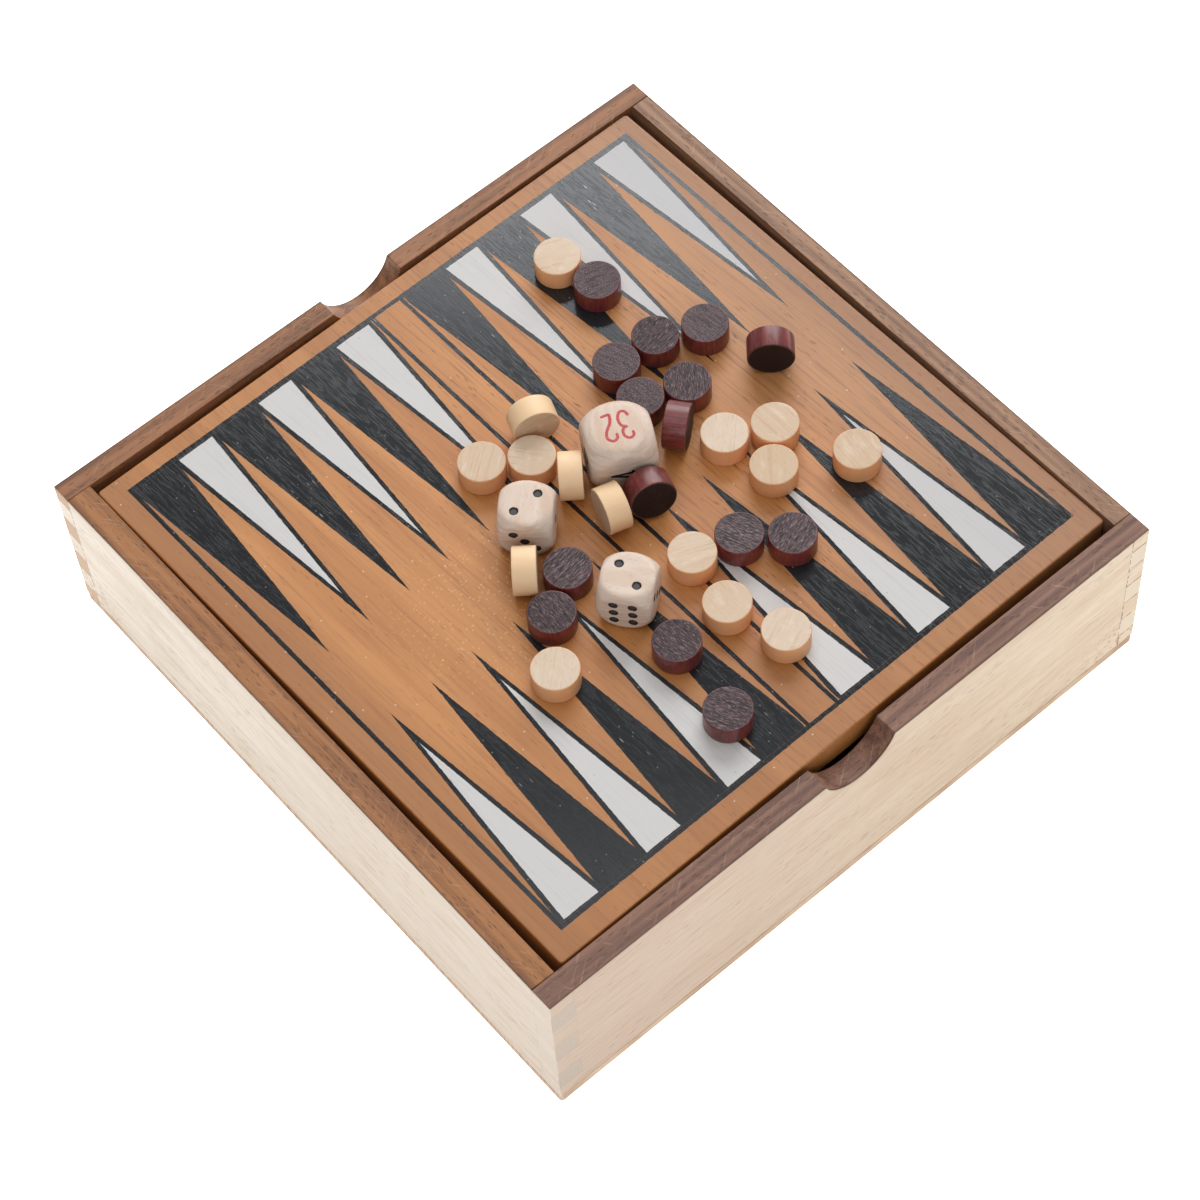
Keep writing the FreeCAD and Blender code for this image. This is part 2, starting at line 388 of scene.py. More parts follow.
print_middle = (1.6, 1.6)                # of the print, which lies a little off the board's middle
print_turn = math.radians(0.64)
frame_x, frame_y = 95.3, 94.65           # half of the printed frame, measured outside
frame_line = 1.4
bar_half = 6.35                          # from the middle to the first point
bar_clear, bar_line = 4.72, 1.3          # half of the bare strip, and the line beside it
point_reach = 80.2                       # from inside the frame line to the tip of a point
point_base = 15.3                        # of the black point, so that neighbours meet at the foot
white_reach, white_base, white_start = 67.0, 12.1, 0.5


def board_mesh():
    """A profile carried round a rectangle with round corners: at each step of the profile the
    outline shrinks inwards by the step's inset, its corner arcs with it, and stands at its height."""
    arc = np.radians(np.linspace(0, 90, 9))
    under = [(board_chamfer, board_low[2]), (0.0, board_low[2] + board_chamfer)]
    round_over = [(board_round * (1 - math.cos(t)), board_high[2] - board_round * (1 - math.sin(t)))
                  for t in arc]
    profile = np.array(under + round_over + [(board_round + 0.3, board_high[2])])
    inset, height = profile[:, :1], profile[:, 1:]
    bend = np.concatenate([np.linspace(n, n + 90, 7) for n in (0, 90, 180, 270)])
    corner_x = np.repeat([1, -1, -1, 1], 7) * (board_width / 2 - board_corner)
    corner_y = np.repeat([1, 1, -1, -1], 7) * (board_depth / 2 - board_corner)
    radius = board_corner - inset
    x = corner_x + radius * np.cos(np.radians(bend))
    y = corner_y + radius * np.sin(np.radians(bend))
    z = np.broadcast_to(height, x.shape)
    rows, columns = x.shape
    turned_x = x * math.cos(board_turn) - y * math.sin(board_turn) + board_centre[0]
    turned_y = x * math.sin(board_turn) + y * math.cos(board_turn) + board_centre[1]
    points = np.stack([turned_x, turned_y, z], axis=-1).reshape(-1, 3) * MM
    row, column = np.mgrid[0:rows - 1, 0:columns]
    after = (column + 1) % columns
    walls = np.stack([row * columns + column, row * columns + after,
                      (row + 1) * columns + after, (row + 1) * columns + column], axis=-1)
    faces = walls.reshape(-1, 4).tolist()
    faces.append(list(range(columns))[::-1])
    faces.append(list(range((rows - 1) * columns, rows * columns)))
    mesh = bpy.data.meshes.new("veneered_board")
    mesh.from_pydata(points.tolist(), [], faces)
    mesh.shade_smooth()
    mesh.set_sharp_from_angle(angle=math.radians(35))
    return mesh


def board_finish():
    """Orange-brown veneer whose fibres run along Y, and the print over it."""
    wood = Finish("printed_veneer", specular=0.5)
    wood.put(wood.shader.inputs["Specular Tint"], (0.93, 0.96, 1.0, 1.0))
    spot = wood.place(centre=(print_middle[0] * MM, print_middle[1] * MM, 0), turn=print_turn)
    x, y = wood.axes(spot)[:2]

    # The veneer: broad bands, fibres a little aslant, and short dark pores that come in drifts.
    grain = wood.place(turn=print_turn + math.radians(1.5))
    bands = wood.cloud(grain, (9, 90, 9), detail=3)
    fibres = wood.cloud(grain, (0.8, 26, 0.8), detail=4, roughness=0.65)
    drift = wood.cloud(grain, (7, 34, 7), detail=2).rise(0.38, 0.62)
    short_pore = wood.pores(grain, (0.9, 6, 0.9)).rise(0.22, 0.1)
    long_pore = wood.pores(grain, (1.3, 15, 1.3)).rise(0.15, 0.06)
    pore = (short_pore * drift).most(long_pore * 0.7) * (0.5 + x.rise(-50, 50) * 0.5)
    speck = wood.pores(spot, (5, 5, 5)).rise(0.07, 0.035)
    rubbed = ((x + 45) * (x + 45) + (y + 5) * (y + 5)).math("SQRT").rise(38, 8)
    crumb = wood.pores(spot, (1.5, 1.5, 1.5)).rise(0.3, 0.16) * rubbed
    veneer = wood.blend(tint(190, 129, 70), tint(173, 112, 55), bands.rise(0.32, 0.7))
    fibre_strength = 0.4 + x.rise(-60, 50) * 0.4
    veneer = wood.blend(veneer, tint(128, 76, 38), fibres.rise(0.46, 0.74) * fibre_strength)
    veneer = wood.blend(veneer, tint(78, 40, 22), pore * 0.85)
    # Painted shade: the veneer a little darker and greyer towards the right.
    veneer = wood.blend(veneer, tint(158, 126, 100), x.rise(30, 100) * 0.4)
    # Painted shade: the veneer darker towards the front, the left and right edges, and a little at
    # the back.
    painted_edge_shade = (y * -1).rise(10, 100) * 0.4
    painted_edge_shade = painted_edge_shade.most(abs(x).rise(78, 98) * 0.55).most(y.rise(50, 100) * 0.25)
    veneer = wood.blend(veneer, tint(132, 84, 44), painted_edge_shade)

    # The print, with edges that follow the fibres a little.
    stray = wood.cloud(spot, (0.5, 1.6, 1), detail=2) - 0.5
    wander = wood.cloud(spot, (1.8, 0.6, 1), detail=2) - 0.5
    x = x + stray * 0.35
    y = y + wander * 0.45
    soft = 0.05                          # half of the width over which an edge fades
    inner_x, inner_y = frame_x - frame_line, frame_y - frame_line
    pitch = (inner_x - bar_half) / 6
    beyond = (abs(x) - inner_x).most(abs(y) - inner_y)
    outer = (abs(x) - frame_x).most(abs(y) - frame_y)
    line = beyond.rise(-soft, soft) * outer.rise(soft, -soft)
    within = beyond.rise(soft, -soft)
    beside_bar = abs(abs(x) - (bar_clear + bar_line / 2)) - bar_line / 2
    bar = beside_bar.rise(soft, -soft) * within

    left = x.math("LESS_THAN", 0)
    front = y.math("LESS_THAN", 0)
    step = (x - bar_half + left * (inner_x + bar_half)) / pitch
    column = step.math("FLOOR")
    off_line = abs(step - column - 0.5) * pitch
    foot = inner_y - abs(y)
    on_columns = (abs(x) - bar_half).rise(-soft, soft) * within
    half_black = (point_base / 2) * (1 - foot / point_reach)
    black_point = (off_line - half_black).rise(soft, -soft) * on_columns
    is_white = (column + front).math("FLOORED_MODULO", 2).rise(0.4, 0.6)
    half_white = (white_base / 2) * (1 - (foot - white_start) / white_reach)
    white = (off_line - half_white).rise(soft, -soft) * (foot - white_start).rise(0, 2 * soft)
    white = white * is_white * on_columns
    black = line.most(bar).most(black_point)

    # Ink: black, glossy between dull pores, with pale scratches along the fibres; and flat grey.
    open_pore = wood.cloud(grain, (0.4, 6, 0.4), detail=3, roughness=0.7).rise(0.5, 0.62)
    open_pore = open_pore.most(short_pore)
    scratch = wood.pores(spot, (1.3, 9, 1.3)).rise(0.13, 0.05)
    worn = wood.cloud(spot, (11, 24, 11), detail=3).rise(0.5, 0.64)
    dust = wood.pores(spot, (3, 3, 3)).rise(0.09, 0.05)
    bare = (scratch * worn * 0.8).most(dust * 0.4)
    ink = wood.blend(tint(33, 34, 36), tint(17, 17, 18), open_pore)
    ink = wood.blend(ink, tint(176, 174, 172), bare)
    pale = wood.blend(tint(195, 193, 191), tint(181, 179, 177), fibres.rise(0.5, 0.8))
    pale = wood.blend(pale, tint(150, 140, 130), speck * 0.6)
    # Painted shade: the white print darker towards the right.
    pale = wood.blend(pale, tint(168, 167, 170), x.rise(35, 95) * 0.5)
    veneer = wood.blend(veneer, tint(226, 206, 182), speck * 0.5)
    veneer = wood.blend(veneer, tint(212, 168, 112), crumb * 0.45)
    colour = wood.blend(veneer, ink, black)
    colour = wood.blend(colour, pale, white)
    relief = (1 - pore * (1 - black) * (1 - white)) * 0.5 - open_pore * black * 0.1
    dull = 0.42 + pore * 0.3
    gloss = 0.13 + open_pore * 0.1
    roughness = dull + black * (gloss - dull)
    roughness = roughness + white * (0.6 - roughness)
    return wood.finish(colour, relief, 0.04, roughness=roughness)


board = bpy.data.objects.new("veneered_board", board_mesh())
bpy.context.scene.collection.objects.link(board)
board.data.materials.append(board_finish())
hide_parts("playing_board")
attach(board, "board")

# ---------------------------------------------------------------------------------------------
# The checkers: discs parted off a turned rod and tumbled, fifteen of pale maple and fifteen of
# dark wood, oiled, with the fibres showing on end or along the face. All in millimetres.
# ---------------------------------------------------------------------------------------------

checker_radius, checker_thick, checker_arris = 7.0, 7.0, 0.35
draw = np.random.default_rng(7)


def seat(node):
    """The middle of a CAD disc in metres and the turn that lays the Z axis along its own axis,
    which is the direction in which the disc's corner points spread least."""
    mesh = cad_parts[node].data
    points = np.empty(len(mesh.vertices) * 3)
    mesh.vertices.foreach_get("co", points)
    points = np.unique(points.reshape(-1, 3).round(6), axis=0)
    middle = points.mean(axis=0)
    ways = np.linalg.eigh(np.cov((points - middle).T))[1]
    axis = ways[:, 0] * np.sign(ways[np.argmax(np.abs(ways[:, 0])), 0])
    first = np.cross(axis, (0, 0, 1) if abs(axis[2]) < 0.9 else (0, 1, 0))
    first /= np.linalg.norm(first)
    return middle, np.stack([first, np.cross(axis, first), axis], axis=1)


def disc_points():
    """A profile turned about Z: out along the underside, round the arris, up the rim and back
    in along the top, with a pole at the middle of each face."""
    bend = np.radians(np.linspace(0, 90, 5))
    flat = checker_radius - checker_arris
    inner_ring = flat * 0.97
    out = flat + checker_arris * np.sin(bend)
    lift = checker_thick / 2 - checker_arris * (1 - np.cos(bend))
    reach = np.concatenate([[inner_ring], out, out[::-1], [inner_ring]])
    height = np.concatenate([[-checker_thick / 2], -lift, lift[::-1], [checker_thick / 2]])
    turn = np.radians(np.arange(0, 360, 5))
    ring = np.stack([np.outer(reach, np.cos(turn)), np.outer(reach, np.sin(turn)),
                     np.repeat(height[:, None], len(turn), axis=1)], axis=-1)
    poles = np.array([[0, 0, -checker_thick / 2], [0, 0, checker_thick / 2]])
    rows, columns = ring.shape[:2]
    row, column = np.mgrid[0:rows - 1, 0:columns]
    after = (column + 1) % columns
    sides = np.stack([row * columns + column, row * columns + after,
                      (row + 1) * columns + after, (row + 1) * columns + column], axis=-1)
    count = rows * columns
    step = np.arange(columns)
    low = np.stack([np.full(columns, count), (step + 1) % columns, step], axis=-1)
    top = count - columns
    high = np.stack([np.full(columns, count + 1), top + step, top + (step + 1) % columns], axis=-1)
    faces = sides.reshape(-1, 4).tolist() + low.tolist() + high.tolist()
    return np.concatenate([ring.reshape(-1, 3), poles]), faces


def own_coordinates(mesh, name, points):
    """Keeps a piece's own coordinates, in metres, as a vector at each point of its mesh."""
    mesh.attributes.new(name, "FLOAT_VECTOR", "POINT")
    mesh.attributes[name].data.foreach_set("vector", (points * MM).ravel().astype(np.float32))


def turn_about(axis, angle):
    """The matrix that turns by an angle about the X or the Z axis."""
    c, s = math.cos(angle), math.sin(angle)
    return {"x": np.array([[1, 0, 0], [0, c, -s], [0, s, c]]),
            "z": np.array([[c, -s, 0], [s, c, 0], [0, 0, 1]])}[axis]


def checker(node, name, finish, bearing, lean):
    """A disc in the place of its CAD node. Its fibres lean from its axis by the lean, towards the
    bearing, and it is cut from its own part of the plank, up to 400 mm from the middle."""
    points, faces = disc_points()
    middle, turn = seat(node)
    mesh = bpy.data.meshes.new(name)
    mesh.from_pydata((points @ turn.T * MM + middle).tolist(), [], faces)
    own_coordinates(mesh, "own", points)
    cut = points @ turn_about("z", -bearing) @ turn_about("x", lean)
    own_coordinates(mesh, "fibre", cut + draw.uniform(-400, 400, 3))
    mesh.shade_smooth()
    mesh.set_sharp_from_angle(angle=math.radians(40))
    piece = bpy.data.objects.new(name, mesh)
    bpy.context.scene.collection.objects.link(piece)
    mesh.materials.append(finish)
    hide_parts(node)
    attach(piece, node)
    return piece


def light_checker_finish(name, rim):
    """Pale maple: fine growth lines, short flecks and a soft shine; its rim takes the colour given,
    which holds the light and shade painted for the way the rim faces.
    """
    wood = Finish(name, roughness=0.45, specular=0.4)
    spot = wood.place("fibre")
    x, y = wood.axes(wood.place("own"))[:2]
    tone = wood.cloud(spot, (60, 60, 60), detail=0)
    rings = wood.cloud(spot, (0.9, 12, 40), detail=3, roughness=0.6, distortion=0.3)
    fleck = wood.pores(spot, (0.5, 0.5, 3.2)).rise(0.3, 0.1)
    mottle = wood.cloud(spot, (2.5, 2.5, 6), detail=3)
    colour = wood.blend(tint(206, 186, 164), tint(195, 168, 138), tone.rise(0.3, 0.7))
    colour = wood.blend(colour, tint(172, 132, 98), rings.rise(0.48, 0.74) * 0.42)
    colour = wood.blend(colour, tint(224, 208, 190), mottle.rise(0.5, 0.75) * 0.35)
    colour = wood.blend(colour, tint(176, 134, 98), fleck * 0.3)
    at_rim = (x * x + y * y).math("SQRT").rise(checker_radius - 0.3, checker_radius - 0.1)
    colour = wood.blend(colour, rim, at_rim * 0.8)
    return wood.finish(colour, rings * 0.5 + (1 - fleck) * 0.5, 0.05)


def dark_checker_finish(name, grey, deep, dust):
    """Dark wood: fine open pores in its greyish faces, and a smooth rim oiled red brown.

    grey and deep are the lighter and the darker colour of the faces, and dust lies in spots."""
    wood = Finish(name, roughness=0.5, specular=0.25)
    spot = wood.place("fibre")
    x, y = wood.axes(wood.place("own"))[:2]
    tone = wood.cloud(spot, (60, 60, 60), detail=0)
    rings = wood.cloud(spot, (0.5, 5, 40), detail=4, roughness=0.7, distortion=0.4)
    grit = wood.cloud(spot, (0.2, 0.2, 3.4), detail=2, roughness=0.6)
    pore = wood.pores(spot, (0.5, 0.5, 4.2)).rise(0.4, 0.2)
    face = wood.blend(grey, deep, tone.rise(0.3, 0.7))
    face = wood.blend(face, tint(38, 26, 29), rings.rise(0.42, 0.64) * 0.8)
    face = wood.blend(face, tint(24, 15, 18), grit.rise(0.47, 0.58) * 0.7)
    face = wood.blend(face, dust, grit.rise(0.42, 0.3) * 0.5)
    face = wood.blend(face, tint(16, 9, 11), pore * 0.7)
    rim = wood.blend(tint(124, 50, 48), tint(70, 26, 25), rings.rise(0.35, 0.75))
    rim = wood.blend(rim, tint(36, 14, 15), pore * 0.55)
    outward = (x * x + y * y).math("SQRT")
    at_rim = outward.rise(checker_radius - 0.25, checker_radius - 0.1)
    arris = outward.rise(checker_radius - 0.5, checker_radius - 0.34) * (1 - at_rim)
    colour = wood.blend(face, tint(140, 116, 114), arris * 0.3)
    colour = wood.blend(colour, rim, at_rim)
    wood.put(wood.shader.inputs["Coat Weight"], at_rim * 0.6)
    wood.put(wood.shader.inputs["Coat Roughness"], 0.28)
    return wood.finish(colour, rings * 0.3 + (1 - pore) * 0.5 + (1 - grit) * 0.4, 0.08)


# The discs whose fibres run along their faces; the others show them on end. Leans are in radians.
lean_along_faces, lean_on_end = 1.45, 0.12
along_faces = {"light": (2, 4, 5, 6, 7, 8, 9, 11), "dark": (2, 6, 7, 8, 9, 10, 11, 12, 15)}
# The two looks of maple differ only in the rim: on discs lying flat it faces sideways, towards the
# board, and is painted an orange shade; on discs on edge it faces up and is painted a lighter cream,
# as lit from above.
maple = light_checker_finish("maple_rim_painted_orange_shade", tint(238, 170, 114))
maple_rim_painted_light = light_checker_finish("maple_rim_painted_light", tint(240, 204, 160))
rosewood = dark_checker_finish("dark_rosewood", tint(108, 88, 91), tint(84, 62, 65),
                               tint(182, 165, 168))
# Painted shade: for the discs on edge, whose faces stand upright, the faces and their specks are
# painted near black.
rosewood_painted_shade = dark_checker_finish("rosewood_faces_painted_shade", tint(36, 22, 22), tint(27, 16, 16),
                                     tint(58, 40, 40))

# Of each colour, the look of the discs that lie flat and of those that stand on their rims; the two
# differ in painted light and shade.
looks = {"light": (maple, maple_rim_painted_light), "dark": (rosewood, rosewood_painted_shade)}
first_on_edge = {"light": 12, "dark": 13}
for colour_name in ("light", "dark"):
    for number in range(1, 16):
        node = f"checker_{colour_name}_{number:02d}"
        finish = looks[colour_name][number >= first_on_edge[colour_name]]
        lean = lean_along_faces if number in along_faces[colour_name] else lean_on_end
        disc = checker(node, f"disc_{colour_name}_{number:02d}", finish,
                       draw.uniform(0, math.pi), lean)

# ---------------------------------------------------------------------------------------------
# The dice and the doubling cube: beech cubes turned down at the corners to a ball, so that a
# round flat is left on each face. The pips are drilled and painted. All in millimetres.
# ---------------------------------------------------------------------------------------------

pip_radius, pip_depth, pip_reach = 1.35, 0.35, 3.1
pip_wall = 0.3                 # over which the surface dips
six_column, six_row = 2.7, 3.7
# For each number of pips, the way its face looks out and the way that is right on it.
face_ways = {1: ((1, 0, 0), (0, 1, 0)), 2: ((0, 0, 1), (1, 0, 0)), 3: ((0, -1, 0), (1, 0, 0)),
             4: ((0, 1, 0), (-1, 0, 0)), 5: ((0, 0, -1), (1, 0, 0)), 6: ((-1, 0, 0), (0, -1, 0))}


def pip_centres(edge):
    """The middles of all the pips on the faces of a die, as rows of three numbers."""
    r = pip_reach
    spots = {1: [(0, 0)], 2: [(-r, -r), (r, r)], 3: [(-r, r), (0, 0), (r, -r)],
             4: [(-r, -r), (-r, r), (r, -r), (r, r)],
             5: [(-r, -r), (-r, r), (0, 0), (r, -r), (r, r)],
             6: [(side * six_column, row) for side in (-1, 1) for row in (-six_row, 0, six_row)]}
    centres = []
    for number, (out, right) in face_ways.items():
        out, right = np.array(out), np.array(right)
        for across, along in spots[number]:
            centres.append(out * edge / 2 + right * across + np.cross(out, right) * along)
    return np.array(centres)


def ball_cube(edge, flat, steps, pips):
    """Six square grids pushed out along their rays to the cube or the ball, whichever is nearer,
    with a soft crossing between the two. Around each pip the surface dips in by the pip's depth."""
    ball = math.hypot(edge / 2, flat)
    crossing = 0.35
    grid = np.linspace(-1, 1, steps + 1) * edge / 2
    u, v = np.meshgrid(grid, grid, indexing="ij")
    points, faces = [], []
    for out, right in face_ways.values():
        out, right = np.array(out), np.array(right)
        up = np.cross(out, right)
        ray = out * edge / 2 + u[..., None] * right + v[..., None] * up
        length = np.linalg.norm(ray, axis=-1, keepdims=True)
        gap = (length - ball) / crossing
        reach = length - crossing * np.log1p(np.exp(np.clip(gap, -40, 40)))
        points.append((ray / length * reach).reshape(-1, 3))
        row, column = np.mgrid[0:steps, 0:steps]
        corner = row * (steps + 1) + column + len(faces) * (steps + 1) ** 2
        faces.append(np.stack([corner, corner + steps + 1, corner + steps + 2, corner + 1],
                              axis=-1).reshape(-1, 4))
    points = np.concatenate(points)
    if len(pips):
        near = np.linalg.norm(points[:, None] - pips[None], axis=-1).min(axis=1)
        dip = np.clip((pip_radius - near) / pip_wall, 0, 1)
        inward = np.where(np.abs(points) > edge / 2 - 0.2, np.sign(points), 0)
        points = points - inward * (dip * dip * (3 - 2 * dip) * pip_depth)[:, None]
    return points, np.concatenate(faces).tolist()


def cube_piece(node, name, edge, flat, steps, bearing, pips):
    """A ball-cornered cube in the place of its CAD node, its six grids merged at their edges."""
    points, faces = ball_cube(edge, flat, steps, pips)
    low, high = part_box(node)
    middle = np.array((low + high) / 2)
    mesh = bpy.data.meshes.new(name)
    mesh.from_pydata((points @ turn_about("z", bearing).T * MM + middle).tolist(), [], faces)
    own_coordinates(mesh, "own", points)
    work = bmesh.new()
    work.from_mesh(mesh)
    bmesh.ops.remove_doubles(work, verts=work.verts, dist=weld)
    work.to_mesh(mesh)
    work.free()
    mesh.shade_smooth()
    piece = bpy.data.objects.new(name, mesh)
    bpy.context.scene.collection.objects.link(piece)
    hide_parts(node)
    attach(piece, node)
    return piece


def cube_finish(name, pips, start):
    """Pinkish beech with short flecks and curved growth lines, and black paint in the pips, painted
    lighter in their middle as a reflection and darker at their edge as shade. The piece is cut from
    the plank at start."""
    wood = Finish(name, roughness=0.5, specular=0.4)
    own = wood.place("own")
    spot = wood.node("ShaderNodeVectorMath", {"operation": "ADD"}, {0: own, 1: start})
    rings = wood.cloud(spot, (5, 40, 1.1), detail=3, distortion=0.6)
    fleck = wood.pores(spot, (0.7, 3, 0.7)).rise(0.28, 0.12)
    colour = wood.blend(tint(214, 196, 182), tint(200, 174, 153), rings.rise(0.35, 0.72))
    colour = wood.blend(colour, tint(170, 134, 108), fleck * 0.3)
    relief = rings * 0.3 + (1 - fleck) * 0.3
    if len(pips):
        ragged = wood.cloud(own, (0.5, 0.5, 0.5), detail=2)
        near = None
        for centre in pips:
            here = wood.node("ShaderNodeVectorMath", {"operation": "DISTANCE"},
                             {0: own, 1: tuple(map(float, centre))}, output=1)
            near = here if near is None else near.least(here)
        painted = (near + ragged * 0.3 - 0.15).rise(pip_radius + 0.06, pip_radius - 0.06)
        # Painted light and shade: the paint is lighter in the middle of a pip, as a reflection, and
        # darker towards its edge, as shade in the hollow.
        paint = wood.blend(tint(58, 56, 60), tint(24, 21, 23), near.rise(0.7, 1.1))
        colour = wood.blend(colour, paint, painted)
    return wood.finish(colour, relief, 0.05)


die_edge, die_flat = 16.0, 7.25
pips = pip_centres(die_edge)
for number, bearing in ((1, -45), (2, 37.5)):
    die = cube_piece(f"die_{number}", f"beech_die_{number}", die_edge, die_flat, 64,
                     math.radians(bearing), pips)
    die.data.materials.append(cube_finish(f"beech_with_pips_{number}", pips, (37 * number, 9, 4)))

cube_edge, cube_flat, cube_bearing = 20.0, 8.1, math.radians(-27.5)
doubling = cube_piece("doubling_cube", "beech_doubling_cube", cube_edge, cube_flat, 40,
                      cube_bearing, [])
doubling.data.materials.append(cube_finish("beech_plain", [], (150, 70, 12)))

# ---------------------------------------------------------------------------------------------
# The numbers of the doubling cube: the powers of two up to 64, painted on its faces with a round
# brush in red or black. Each digit is one to three strokes, in a cell 1 wide and 2 high.
# ---------------------------------------------------------------------------------------------

digit_height, digit_step, brush = 9.0, 4.7, 0.9
digit_width = digit_step * 0.78
paint_lift, paint_thick = 0.004, 0.04    # how far the paint's edge and its middle stand out
strokes = {
    "1": [[(0.2, 1.55), (0.37, 1.77), (0.59, 2.05)], [(0.55, 2.05), (0.55, 1.0), (0.55, 0.0)]],
    "2": [[(0.08, 1.5), (0.1, 1.85), (0.45, 2.05), (0.85, 1.8), (0.8, 1.3), (0.35, 0.6),
           (0.26, -0.04)], [(0.2, 0.0), (0.5, 0.04), (0.98, 0.12)]],
    "3": [[(0.1, 1.55), (0.12, 1.9), (0.5, 2.05), (0.85, 1.75), (0.78, 1.3), (0.38, 1.15)],
          [(0.4, 1.18), (0.85, 1.0), (0.98, 0.5), (0.75, 0.02), (0.35, 0.02), (0.12, 0.4)]],
    "4": [[(0.62, 0.0), (0.62, 1.0), (0.62, 2.05)], [(0.66, 2.05), (0.33, 1.31), (-0.04, 0.55)],
          [(-0.04, 0.6), (0.46, 0.6), (0.95, 0.6)]],
    "6": [[(0.8, 1.9), (0.3, 1.5), (0.08, 0.8), (0.15, 0.15), (0.55, -0.02), (0.92, 0.3),
           (0.85, 0.85), (0.5, 1.0), (0.15, 0.75)]],
    "8": [[(0.5, 1.08), (0.12, 1.35), (0.2, 1.9), (0.5, 2.02), (0.82, 1.85), (0.85, 1.35),
           (0.5, 1.08), (0.08, 0.75), (0.12, 0.1), (0.5, -0.02), (0.9, 0.12), (0.92, 0.75),
           (0.5, 1.08)]],
}


def smooth_path(points, steps):
    """A line through the points: between two of them, the cubic whose slope at each point is
    half of the way from the point before to the point after."""
    knots = np.array(points, float)
    padded = np.concatenate([[2 * knots[0] - knots[1]], knots, [2 * knots[-1] - knots[-2]]])
    before, start, end, after = padded[:-3], padded[1:-2], padded[2:-1], padded[3:]
    t = np.linspace(0, 1, steps, endpoint=False)[:, None, None]
    line = 0.5 * (2 * start + (end - before) * t + (2 * before - 5 * start + 4 * end - after) * t ** 2
                  + (3 * start - before - 3 * end + after) * t ** 3)
    return np.concatenate([line.transpose(1, 0, 2).reshape(-1, 2), knots[-1:]])


def painted_number(number, out, up, colour):
    """The strokes of a number as low ridges of paint: at each step of the line a flat arch is
    carried along it, across the line and out from the face, and it narrows to a point at the ends."""
    out, up = np.array(out, float), np.array(up, float)
    right = np.cross(up, out)
    text = str(number)
    wide = digit_step * len(text)
    points, faces = [], []
    for place, digit in enumerate(text):
        for stroke in strokes[digit]:
            line = smooth_path(stroke, 12)
            line = (line - (0.5, 1.0)) * (digit_width, digit_height / 2)
            line[:, 0] += (place + 0.5) * digit_step - wide / 2
            way = np.gradient(line, axis=0)
            way /= np.linalg.norm(way, axis=1, keepdims=True) + 1e-9
            side = np.stack([-way[:, 1], way[:, 0]], axis=1)
            steps = np.linalg.norm(np.diff(line, axis=0), axis=1)
            travelled = np.concatenate([[0], np.cumsum(steps)])
            from_end = np.minimum(travelled, travelled[-1] - travelled) / (brush / 2)
            half = brush / 2 * np.sqrt(1 - (1 - np.clip(from_end, 0.02, 1)) ** 2)
            arch = np.linspace(-1, 1, 5)
            across = line[:, None] + side[:, None] * (half[:, None] * arch)[..., None]
            lift = cube_edge / 2 + paint_lift + paint_thick * (1 - arch ** 2)
            lift = np.broadcast_to(lift, across.shape[:2])[..., None]
            shape = across[..., :1] * right + across[..., 1:] * up + lift * out
            rows, columns = shape.shape[:2]
            row, column = np.mgrid[0:rows - 1, 0:columns - 1]
            first = sum(map(len, points)) + row * columns + column
            faces.append(np.stack([first, first + columns, first + columns + 1, first + 1],
                                  axis=-1).reshape(-1, 4))
            points.append(shape.reshape(-1, 3))
    points = np.concatenate(points)
    low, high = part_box("doubling_cube")
    middle = np.array((low + high) / 2)
    mesh = bpy.data.meshes.new(f"painted_number_{number}")
    mesh.from_pydata((points @ turn_about("z", cube_bearing).T * MM + middle).tolist(), [],
                     np.concatenate(faces).tolist())
    own_coordinates(mesh, "own", points)
    mesh.materials.append(colour)
    mesh.shade_smooth()
    piece = bpy.data.objects.new(f"painted_number_{number}", mesh)
    bpy.context.scene.collection.objects.link(piece)
    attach(piece, "doubling_cube")


def number_paint(name, thick, thin):
    """Paint that has sunk unevenly into the wood."""
    paint = Finish(name, roughness=0.5, specular=0.4)
    spot = paint.place("own")
    patchy = paint.cloud(spot, (0.5, 0.5, 0.5), detail=3)
    return paint.finish(paint.blend(thick, thin, patchy.rise(0.45, 0.75)), patchy, 0.02)


red = number_paint("red_paint", tint(176, 52, 56), tint(204, 108, 106))
black = number_paint("black_paint", tint(36, 24, 26), tint(60, 42, 42))
painted_number(32, (0, 0, 1), (0, -1, 0), red)
painted_number(4, (0, -1, 0), (-1, 0, 0), black)
painted_number(8, (1, 0, 0), (0, 0, 1), red)
painted_number(16, (-1, 0, 0), (0, 1, 0), black)
painted_number(2, (0, 0, -1), (0, 1, 0), red)
painted_number(64, (0, 1, 0), (1, 0, 0), black)

# ---------------------------------------------------------------------------------------------
# The floor, the lights and the camera: a white table in a light tent, with the brightest side
# of the tent behind and above the box, and a long lens that looks down over its near corner.
# ---------------------------------------------------------------------------------------------

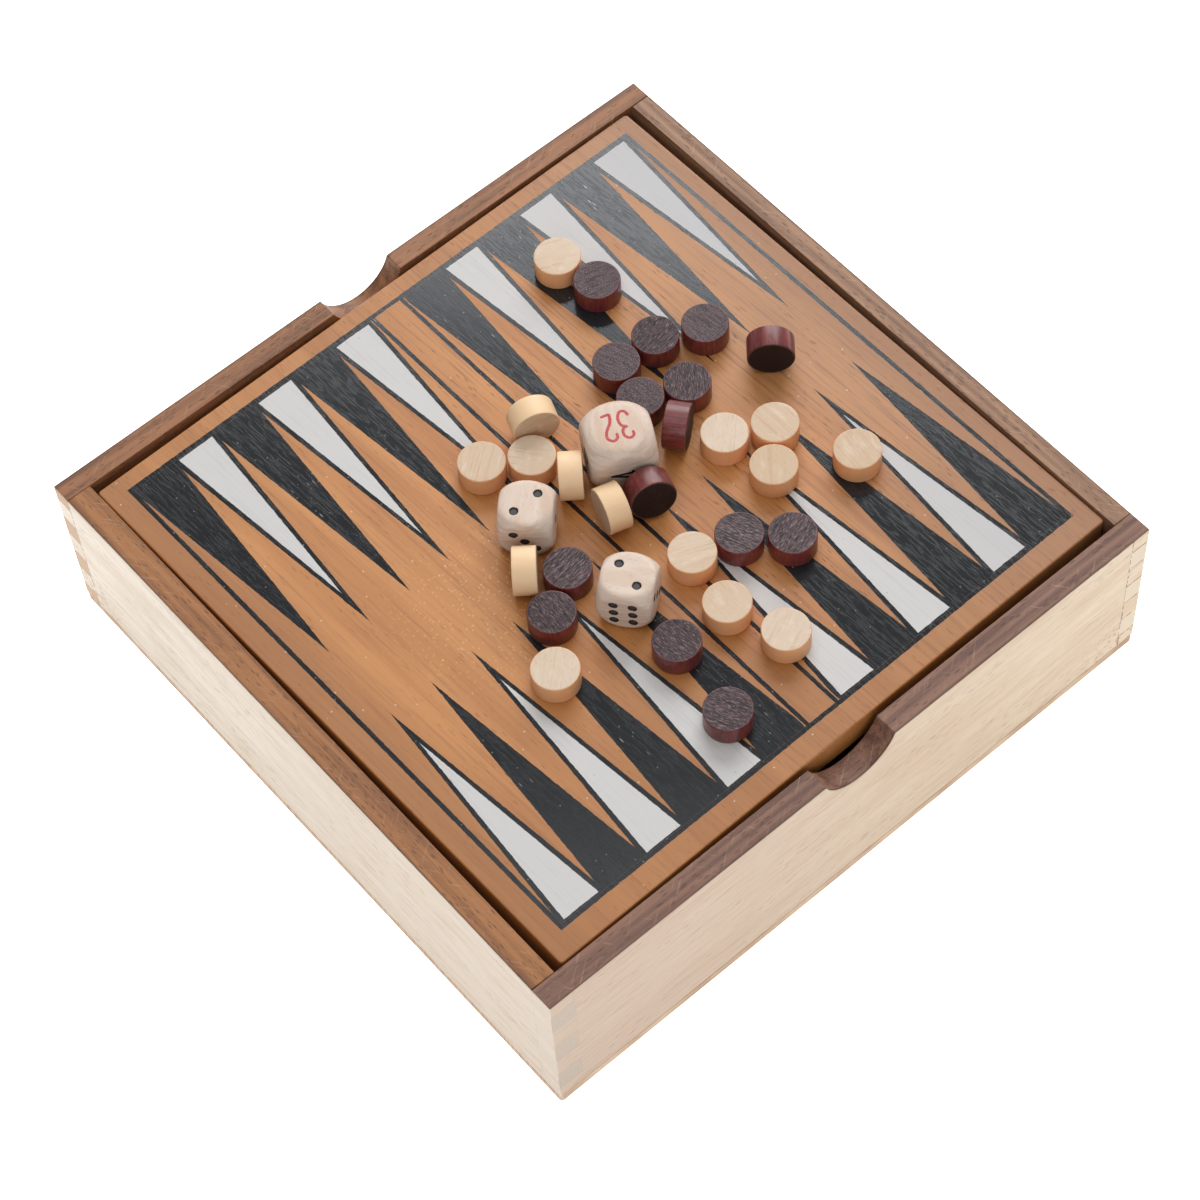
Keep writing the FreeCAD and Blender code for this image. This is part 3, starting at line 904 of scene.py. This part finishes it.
half_floor = 3.0
floor_drop = 0.0002            # so that the floor and the foot of the box don't coincide
floor_mesh = bpy.data.meshes.new("floor")
floor_mesh.from_pydata([(-half_floor, -half_floor, 0), (half_floor, -half_floor, 0),
                        (half_floor, half_floor, 0), (-half_floor, half_floor, 0)], [],
                       [(0, 1, 2, 3)])
floor = bpy.data.objects.new("floor", floor_mesh)
floor.location.z = -floor_drop
bpy.context.scene.collection.objects.link(floor)
white_table = Finish("white_table", roughness=0.8, specular=0.2)
white_table.shader.inputs["Base Color"].default_value = (0.93, 0.93, 0.93, 1)
white_table.shader.inputs["Emission Color"].default_value = (1, 1, 1, 1)
white_table.shader.inputs["Emission Strength"].default_value = 0.9
floor_mesh.materials.append(white_table.material)


def softbox(name, azimuth, elevation, distance, width, height, power):
    """A rectangular light that looks at the middle of the board. The azimuth is counted from +X,
    and both angles are in degrees; lengths are in metres and the power is in watts."""
    board_height = 0.05
    light = bpy.data.lights.new(name, "AREA")
    light.shape = "RECTANGLE"
    light.size, light.size_y = width, height
    light.energy = power
    lamp = bpy.data.objects.new(name, light)
    level = math.cos(math.radians(elevation)) * distance
    lamp.location = (level * math.cos(math.radians(azimuth)),
                     level * math.sin(math.radians(azimuth)),
                     board_height + distance * math.sin(math.radians(elevation)))
    lamp.rotation_euler = (math.radians(90 - elevation), 0, math.radians(azimuth + 90))
    bpy.context.scene.collection.objects.link(lamp)


softbox("tent_back", 40, 35.5, 3.0, 2.6, 1.9, 84)
softbox("tent_top", 236, 89.5, 3.0, 3.0, 3.0, 43)
softbox("tent_front", 236, 32, 3.0, 2.6, 1.6, 24)

world = bpy.data.worlds.new("tent")
world.use_nodes = True
world.node_tree.nodes["Background"].inputs["Color"].default_value = (1.0, 0.99, 0.98, 1)
world.node_tree.nodes["Background"].inputs["Strength"].default_value = 0.2
bpy.context.scene.world = world
bpy.context.scene.view_settings.view_transform = "Standard"

view_azimuth = math.radians(-36.69)      # counted from -Y
view_elevation = math.radians(58.26)
view_roll = math.radians(-4.72)
view_distance = 1.0229
target = (0.00306, 0.0054, 0.0)
camera_data = bpy.data.cameras.new("camera")
camera_data.sensor_width = 36.0
camera_data.lens = 102.9
camera_data.clip_start = 0.05
camera = bpy.data.objects.new("camera", camera_data)
back = Vector((math.sin(view_azimuth) * math.cos(view_elevation),
               -math.cos(view_azimuth) * math.cos(view_elevation), math.sin(view_elevation)))
camera.location = Vector(target) + back * view_distance
camera.rotation_mode = "QUATERNION"
camera.rotation_quaternion = Quaternion(back, view_roll) @ back.to_track_quat("Z", "Y")
bpy.context.scene.collection.objects.link(camera)
bpy.context.scene.camera = camera
